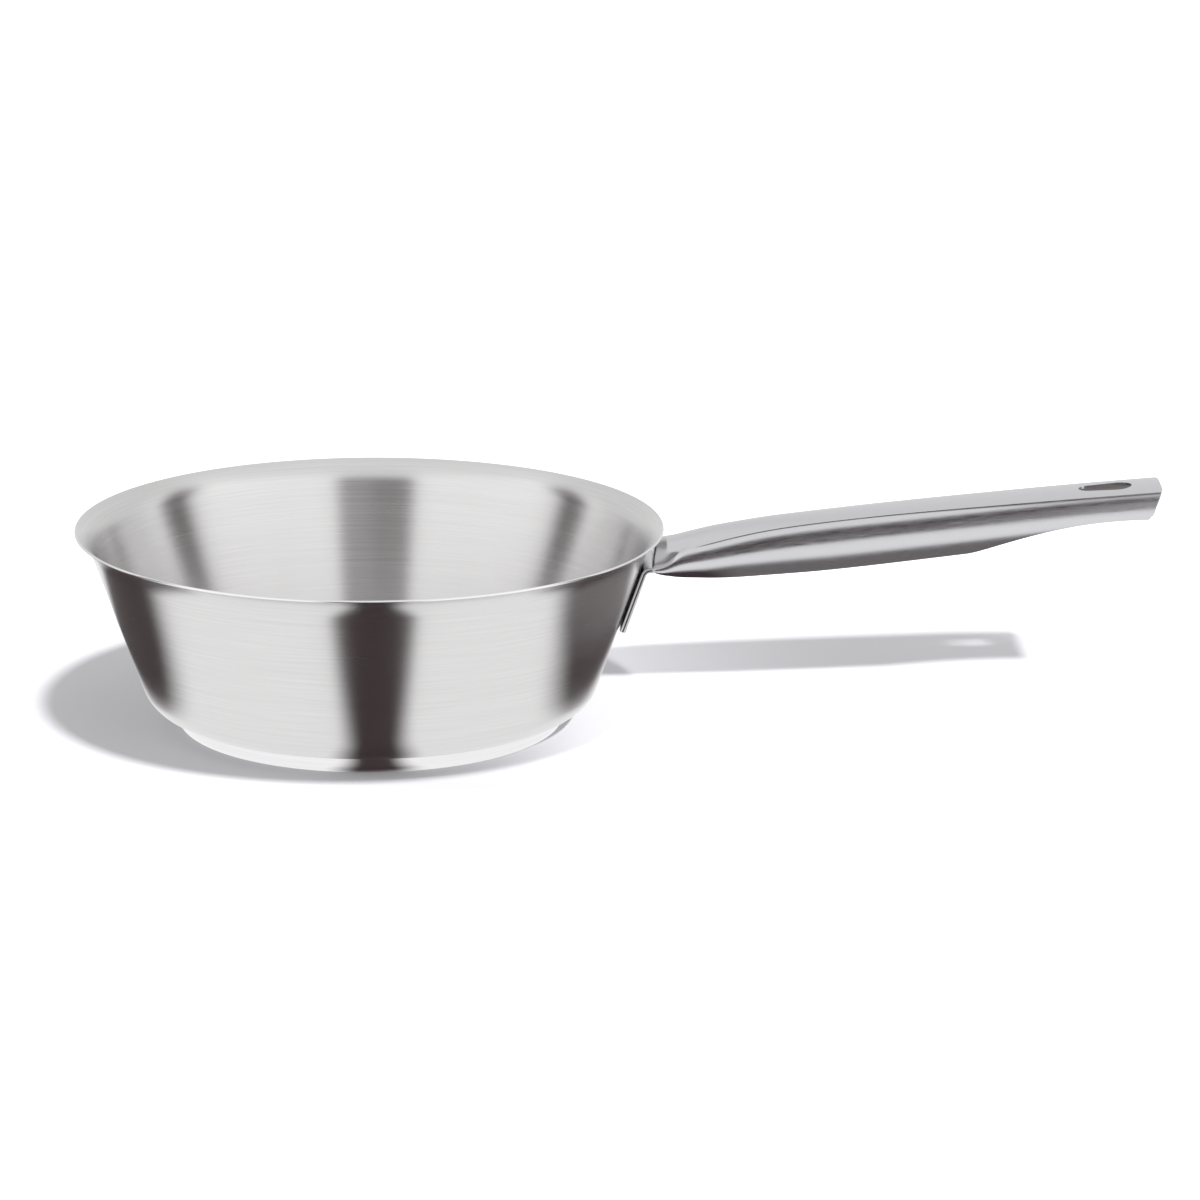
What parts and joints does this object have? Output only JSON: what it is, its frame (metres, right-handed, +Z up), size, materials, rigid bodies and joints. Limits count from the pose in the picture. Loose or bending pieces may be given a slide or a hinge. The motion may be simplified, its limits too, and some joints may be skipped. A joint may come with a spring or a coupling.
{
  "type": "saucier pan",
  "caption": "Conical saucier pan with a flared rim, a bonded flat base and a welded tube handle with a hanging slot.",
  "frame": {"origin": "on the pan's axis, at the underside of the base, where the pan stands", "axes": "+Z is up along the pan's axis, +X points along the handle, and +Y is across it"},
  "size_m": [0.4412, 0.24, 0.1015],
  "materials": {
    "bowl_steel": "satin, brushed round the axis",
    "core_aluminium": "plain, sealed inside",
    "base_steel": "polished",
    "handle_steel": "polished along its length",
    "weld_steel": "plain"
  },
  "bodies": {
    "root": {"bowl": "bowl_steel", "core_disc": "core_aluminium", "base_cap": "base_steel", "handle": "handle_steel", "spot_welds": "weld_steel"}
  },
  "joints": []
}
